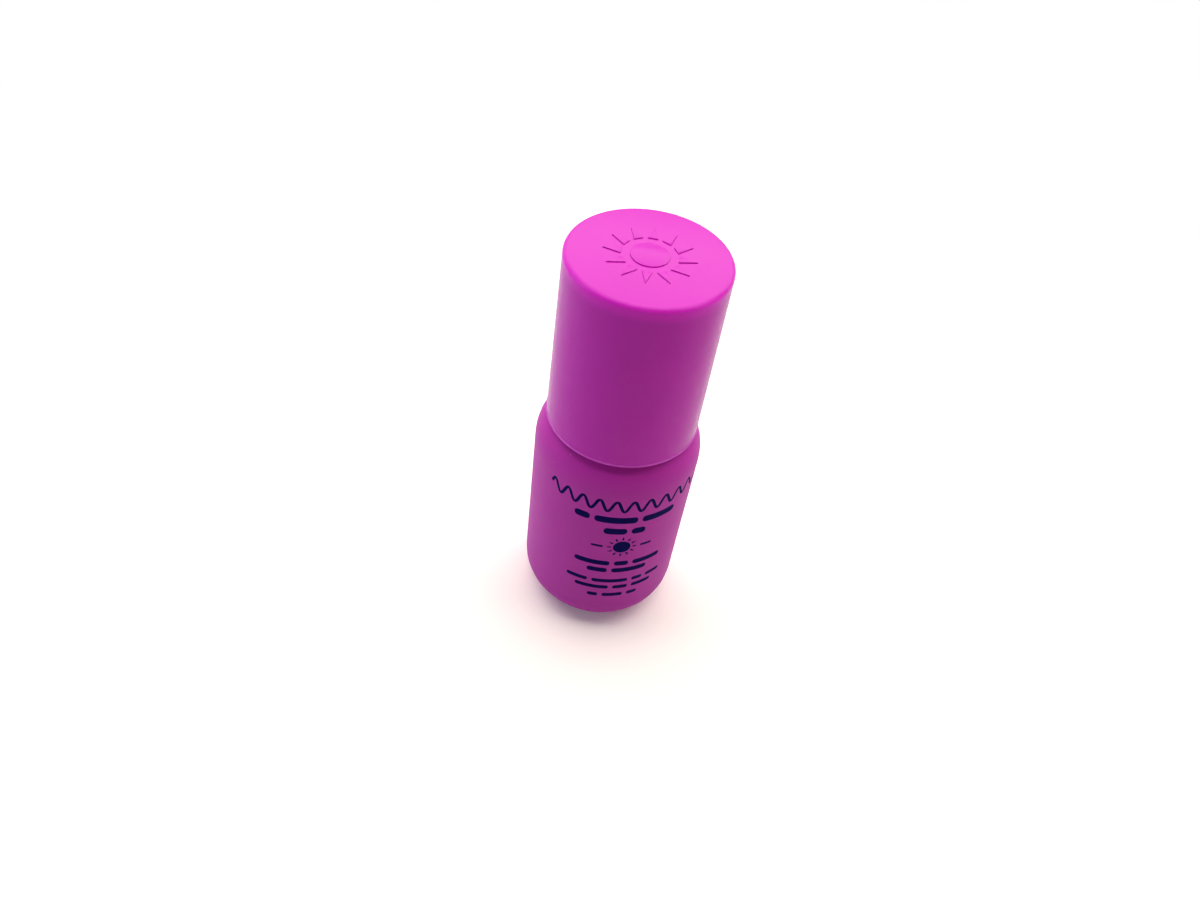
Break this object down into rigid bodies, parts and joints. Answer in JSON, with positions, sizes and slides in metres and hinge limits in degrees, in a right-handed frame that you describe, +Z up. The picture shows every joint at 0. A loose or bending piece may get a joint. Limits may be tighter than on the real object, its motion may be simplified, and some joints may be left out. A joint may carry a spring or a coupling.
{
  "type": "squeeze bottle with screw cap",
  "caption": "Small round squeeze bottle for fluid sunscreen, with a press-in nozzle, a tall two-piece screw cap, a free-turning seal and a mixing ball.",
  "frame": {"origin": "on the bottle's axis, in the plane that the bottle stands on", "axes": "+Z up along the axis of the bottle and its cap; -Y is the printed front; +X is to the right of it"},
  "size_m": [0.0268, 0.0268, 0.071],
  "materials": {
    "bottle_soft_touch": "soft-touch lacquer on a blow-moulded body, matt with a faint sheen",
    "cap_shell": "moulded polypropylene, satin to semi-gloss",
    "nozzle_natural": "natural low-density polyethylene, slightly translucent",
    "inner_cap_white": "white moulded polypropylene",
    "seal_soft": "soft white sealing elastomer",
    "ball_steel": "polished stainless steel",
    "sunscreen": "opaque cream-coloured fluid"
  },
  "bodies": {
    "bottle_body": {"bottle": "bottle_soft_touch", "nozzle": "nozzle_natural", "sunscreen_fluid": "sunscreen"},
    "seal": {"seal_plug": "seal_soft"},
    "cap": {"inner_cap": "inner_cap_white", "outer_cap": "cap_shell"},
    "ball": {"mixing_ball": "ball_steel"}
  },
  "joints": [
    {"name": "cap_lift", "type": "slide", "parent": "bottle_body", "child": "seal", "axis": [0, 0, 1], "range_m": [0, 0.0239]},
    {"name": "cap_turn", "type": "hinge", "parent": "seal", "child": "cap", "pos_m": [0, 0, 0.0416], "axis": [0, 0, 1], "range_deg": [0, 2700]},
    {"name": "ball_slide", "type": "slide", "parent": "bottle_body", "child": "ball", "axis": [0, 0, 1], "range_m": [0, 0.034], "deforming": ["sunscreen_fluid"]}
  ],
  "couplings": [
    {"joint": "cap_lift", "follows": "cap_turn", "m_per_rad": 0.00050532}
  ]
}
